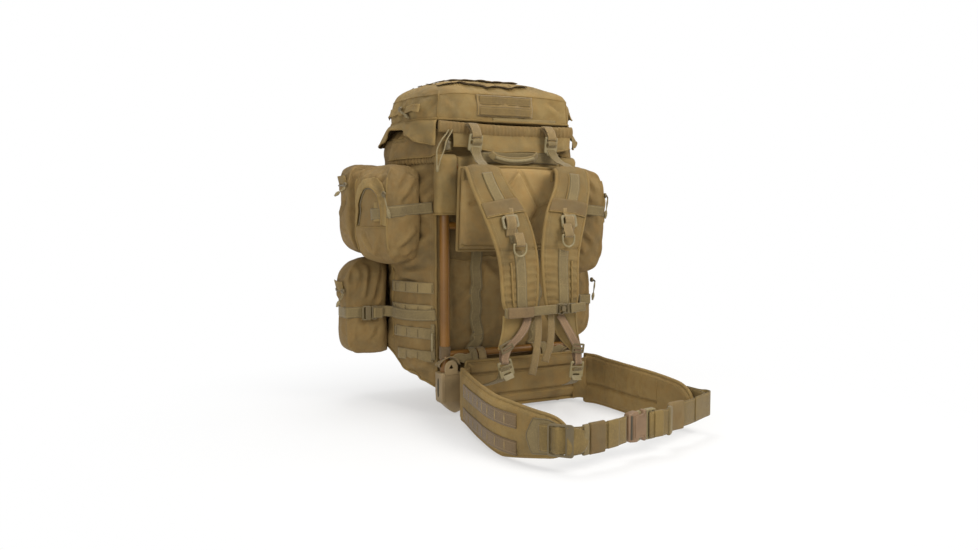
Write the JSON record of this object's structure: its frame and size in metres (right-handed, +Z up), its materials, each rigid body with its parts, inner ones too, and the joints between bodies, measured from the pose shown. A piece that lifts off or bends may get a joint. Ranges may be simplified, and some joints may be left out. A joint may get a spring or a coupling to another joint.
{
  "type": "external frame hunting backpack",
  "caption": "Large external-frame hunting backpack with a lidded main bag, side and corner pockets, padded shoulder harness and buckled hip belt.",
  "frame": {"origin": "floor level at the bottom centre of the pack's bounding box, midway between the two side tubes and 99.8 mm in front of the plane through them", "axes": "+Z up, +Y from the wearer's back into the bag, +X to the right as seen from the harness side"},
  "size_m": [0.6974, 0.8428, 0.7442],
  "materials": {
    "pack_cloth": "matte coated nylon plain weave, coyote brown",
    "padded_cloth": "matte nylon over foam, coyote brown",
    "webbing": "ribbed nylon webbing, grey tan",
    "loop_pile": "fuzzy loop pile",
    "cord": "braided cord",
    "tube_finish": "satin copper brown paint, worn at the bends",
    "buckle_plastic": "moulded tan plastic with a fine grain"
  },
  "bodies": {
    "pack_frame": {"frame_hoop": "tube_finish", "lower_crossbar": "tube_finish", "middle_crossbar": "tube_finish", "upper_crossbar": "tube_finish", "foot_boot_left": "pack_cloth", "foot_boot_right": "pack_cloth", "boot_tongues": "pack_cloth", "frame_sleeve": "pack_cloth", "main_bag": "pack_cloth", "snow_collar": "pack_cloth", "collar_cord": "cord", "back_pad": "padded_cloth", "lumbar_pad": "padded_cloth", "back_webbing": "webbing", "side_pouch_left": "pack_cloth", "side_pouch_right": "pack_cloth", "upper_corner_pocket_left": "pack_cloth", "upper_corner_pocket_right": "pack_cloth", "lower_corner_pocket_left": "pack_cloth", "lower_corner_pocket_right": "pack_cloth", "pals_panel_left": "webbing", "pals_panel_right": "webbing", "compression_straps": "webbing", "compression_buckles": "buckle_plastic", "shoulder_strap_left": "padded_cloth", "shoulder_strap_right": "padded_cloth", "strap_keepers": "webbing", "lifter_straps": "webbing", "lower_straps": "webbing", "ring_holders": "webbing"},
    "lid": {"lid_pocket": "pack_cloth", "lid_skirt": "pack_cloth", "lid_webbing": "webbing", "loop_patch": "loop_pile"},
    "lid_slider": {"lid_zip_slider": "buckle_plastic"},
    "cord_lock": {"cord_lock_body": "buckle_plastic"},
    "cord_button": {"cord_lock_plunger": "buckle_plastic"},
    "haul_loop": {"grab_handle": "webbing"},
    "pouch_slider_left": {"side_pouch_slider_left": "buckle_plastic"},
    "pouch_slider_right": {"side_pouch_slider_right": "buckle_plastic"},
    "upper_slider_left": {"upper_corner_slider_left": "buckle_plastic"},
    "upper_slider_right": {"upper_corner_slider_right": "buckle_plastic"},
    "lower_slider_left": {"lower_corner_slider_left": "buckle_plastic"},
    "lower_slider_right": {"lower_corner_slider_right": "buckle_plastic"},
    "ring_left": {"d_ring_left": "buckle_plastic"},
    "ring_right": {"d_ring_right": "buckle_plastic"},
    "adjuster_left": {"strap_lock_left": "buckle_plastic"},
    "adjuster_right": {"strap_lock_right": "buckle_plastic"},
    "lifter_left": {"lifter_lock_left": "buckle_plastic"},
    "lifter_right": {"lifter_lock_right": "buckle_plastic"},
    "sternum_strap": {"sternum_strap_left": "webbing", "sternum_strap_right": "webbing", "sternum_buckle_female": "buckle_plastic"},
    "sternum_clip": {"sternum_buckle_male": "buckle_plastic"},
    "belt_left": {"belt_fin_left": "padded_cloth", "belt_webbing_left": "webbing", "belt_buckle_female": "buckle_plastic"},
    "belt_right": {"belt_fin_right": "padded_cloth", "belt_webbing_right": "webbing"},
    "belt_clip": {"belt_buckle_male": "buckle_plastic"}
  },
  "joints": [
    {"name": "lid_hinge", "type": "hinge", "parent": "pack_frame", "child": "lid", "pos_m": [0, 0.1078, 0.648], "axis": [1, 0, 0], "range_deg": [0, 95]},
    {"name": "lid_zip", "type": "slide", "parent": "lid", "child": "lid_slider", "axis": [0, 1, 0], "range_m": [-0.05, 0.07]},
    {"name": "cord_lock_slide", "type": "slide", "parent": "pack_frame", "child": "cord_lock", "axis": [0, 0, 1], "range_m": [-0.006, 0.02]},
    {"name": "cord_lock_press", "type": "slide", "parent": "cord_lock", "child": "cord_button", "axis": [0, 0, -1], "range_m": [0, 0.0035]},
    {"name": "haul_loop_hinge", "type": "hinge", "parent": "pack_frame", "child": "haul_loop", "pos_m": [0, 0.07079, 0.582], "axis": [1, 0, 0], "range_deg": [-75, 0]},
    {"name": "side_pouch_zip_left", "type": "slide", "parent": "pack_frame", "child": "pouch_slider_left", "axis": [-0.2918, 0.9565, 0], "range_m": [0, 0.095]},
    {"name": "side_pouch_zip_right", "type": "slide", "parent": "pack_frame", "child": "pouch_slider_right", "axis": [0.2918, 0.9565, 0], "range_m": [0, 0.095]},
    {"name": "upper_corner_zip_left", "type": "slide", "parent": "pack_frame", "child": "upper_slider_left", "axis": [0.0926, 0.9957, 0], "range_m": [0, 0.07]},
    {"name": "upper_corner_zip_right", "type": "slide", "parent": "pack_frame", "child": "upper_slider_right", "axis": [-0.0926, 0.9957, 0], "range_m": [0, 0.07]},
    {"name": "lower_corner_zip_left", "type": "slide", "parent": "pack_frame", "child": "lower_slider_left", "axis": [0.0926, 0.9957, 0], "range_m": [0, 0.07]},
    {"name": "lower_corner_zip_right", "type": "slide", "parent": "pack_frame", "child": "lower_slider_right", "axis": [-0.0926, 0.9957, 0], "range_m": [0, 0.07]},
    {"name": "ring_left_hinge", "type": "hinge", "parent": "pack_frame", "child": "ring_left", "pos_m": [-0.062, -0.06721, 0.384], "axis": [1, 0, 0], "range_deg": [-80, 0]},
    {"name": "ring_right_hinge", "type": "hinge", "parent": "pack_frame", "child": "ring_right", "pos_m": [0.06, -0.0652, 0.402], "axis": [1, 0, 0], "range_deg": [-80, 0]},
    {"name": "strap_lock_left_hinge", "type": "hinge", "parent": "pack_frame", "child": "adjuster_left", "pos_m": [-0.092, -0.05221, 0.134], "axis": [1, 0, 0], "range_deg": [-60, 0]},
    {"name": "strap_lock_right_hinge", "type": "hinge", "parent": "pack_frame", "child": "adjuster_right", "pos_m": [0.094, -0.05221, 0.118], "axis": [1, 0, 0], "range_deg": [-60, 0]},
    {"name": "lifter_lock_left_hinge", "type": "hinge", "parent": "pack_frame", "child": "lifter_left", "pos_m": [-0.097, 0.0658, 0.618], "axis": [1, 0, 0], "range_deg": [-50, 0]},
    {"name": "lifter_lock_right_hinge", "type": "hinge", "parent": "pack_frame", "child": "lifter_right", "pos_m": [0.097, 0.0658, 0.618], "axis": [1, 0, 0], "range_deg": [-50, 0]},
    {"name": "sternum_height", "type": "slide", "parent": "pack_frame", "child": "sternum_strap", "axis": [0, 0, 1], "range_m": [-0.003, 0.06]},
    {"name": "sternum_release", "type": "slide", "parent": "sternum_strap", "child": "sternum_clip", "axis": [1, 0, 0], "range_m": [0, 0.02]},
    {"name": "belt_left_hinge", "type": "hinge", "parent": "pack_frame", "child": "belt_left", "pos_m": [-0.14, 0.06979, 0.062], "axis": [0, 0, -1], "range_deg": [0, 40]},
    {"name": "belt_right_hinge", "type": "hinge", "parent": "pack_frame", "child": "belt_right", "pos_m": [0.183, 0.0648, 0.062], "axis": [0, 0, 1], "range_deg": [0, 14]},
    {"name": "belt_buckle_release", "type": "slide", "parent": "belt_right", "child": "belt_clip", "axis": [0.9895, 0.1444, 0], "range_m": [0, 0.028]}
  ],
  "couplings": [
    {"joint": "belt_right_hinge", "follows": "belt_left_hinge", "ratio": 0.35}
  ]
}
